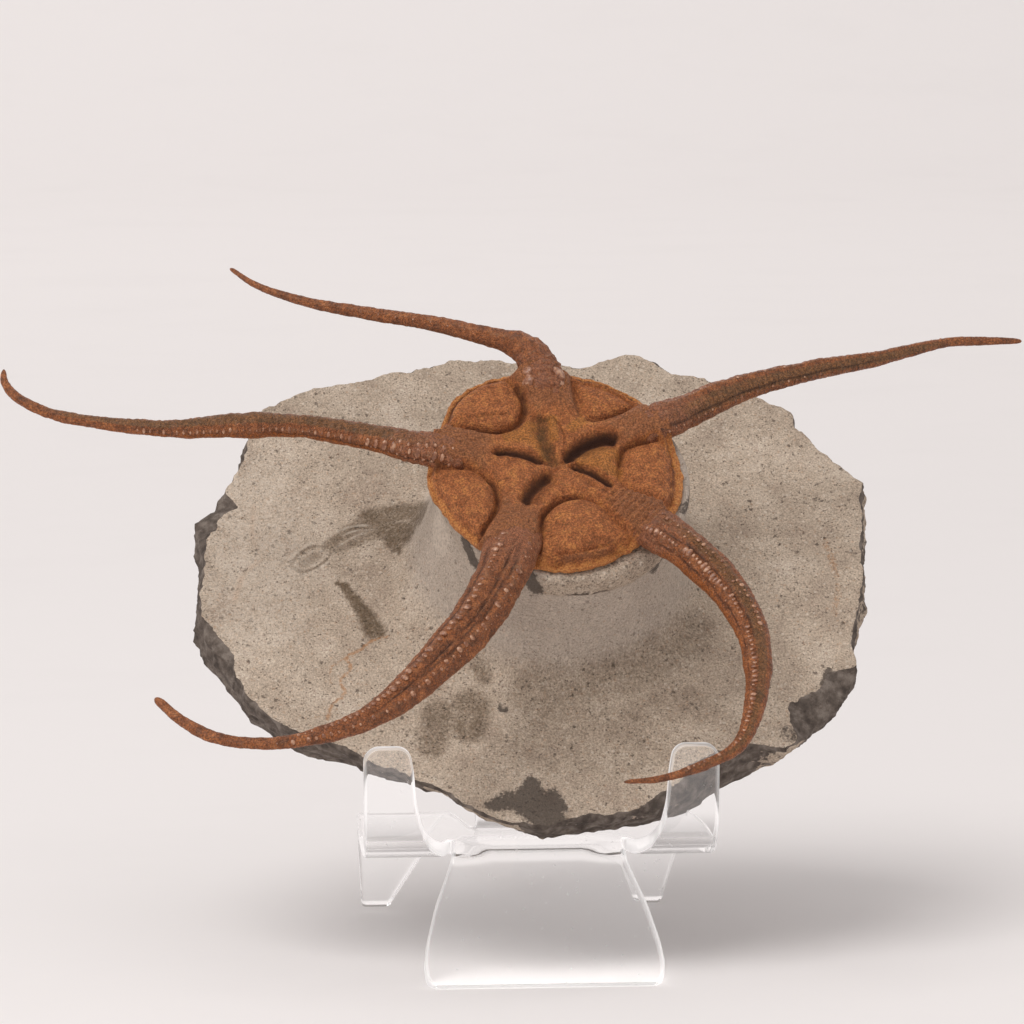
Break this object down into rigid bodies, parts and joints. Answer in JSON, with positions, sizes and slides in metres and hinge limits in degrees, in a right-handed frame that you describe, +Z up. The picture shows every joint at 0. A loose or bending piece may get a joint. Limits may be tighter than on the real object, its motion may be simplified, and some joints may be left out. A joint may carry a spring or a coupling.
{
  "type": "fossil brittle star",
  "caption": "Fossil brittle star raised on a pedestal of its stone slab, arms free in the air, leaning on a clear moulded easel.",
  "frame": {"origin": "on the table, under the middle of the whole object's box", "axes": "+X to the right as the star is looked at, +Y to the back, away from its face, +Z up; the slab leans back on the easel"},
  "size_m": [0.1516, 0.0934, 0.098],
  "materials": {
    "slab_stone": "fine sandy matt",
    "fossil_disc": "varnished, waxy sheen",
    "fossil_arm": "varnished, waxy sheen",
    "clear_plastic": "polished clear"
  },
  "bodies": {
    "root": {"easel_stand": "clear_plastic", "matrix_slab": "slab_stone", "disc": "fossil_disc", "arm_top": "fossil_arm", "arm_left": "fossil_arm", "arm_lower_left": "fossil_arm", "arm_lower_right": "fossil_arm", "arm_right": "fossil_arm"}
  },
  "joints": []
}
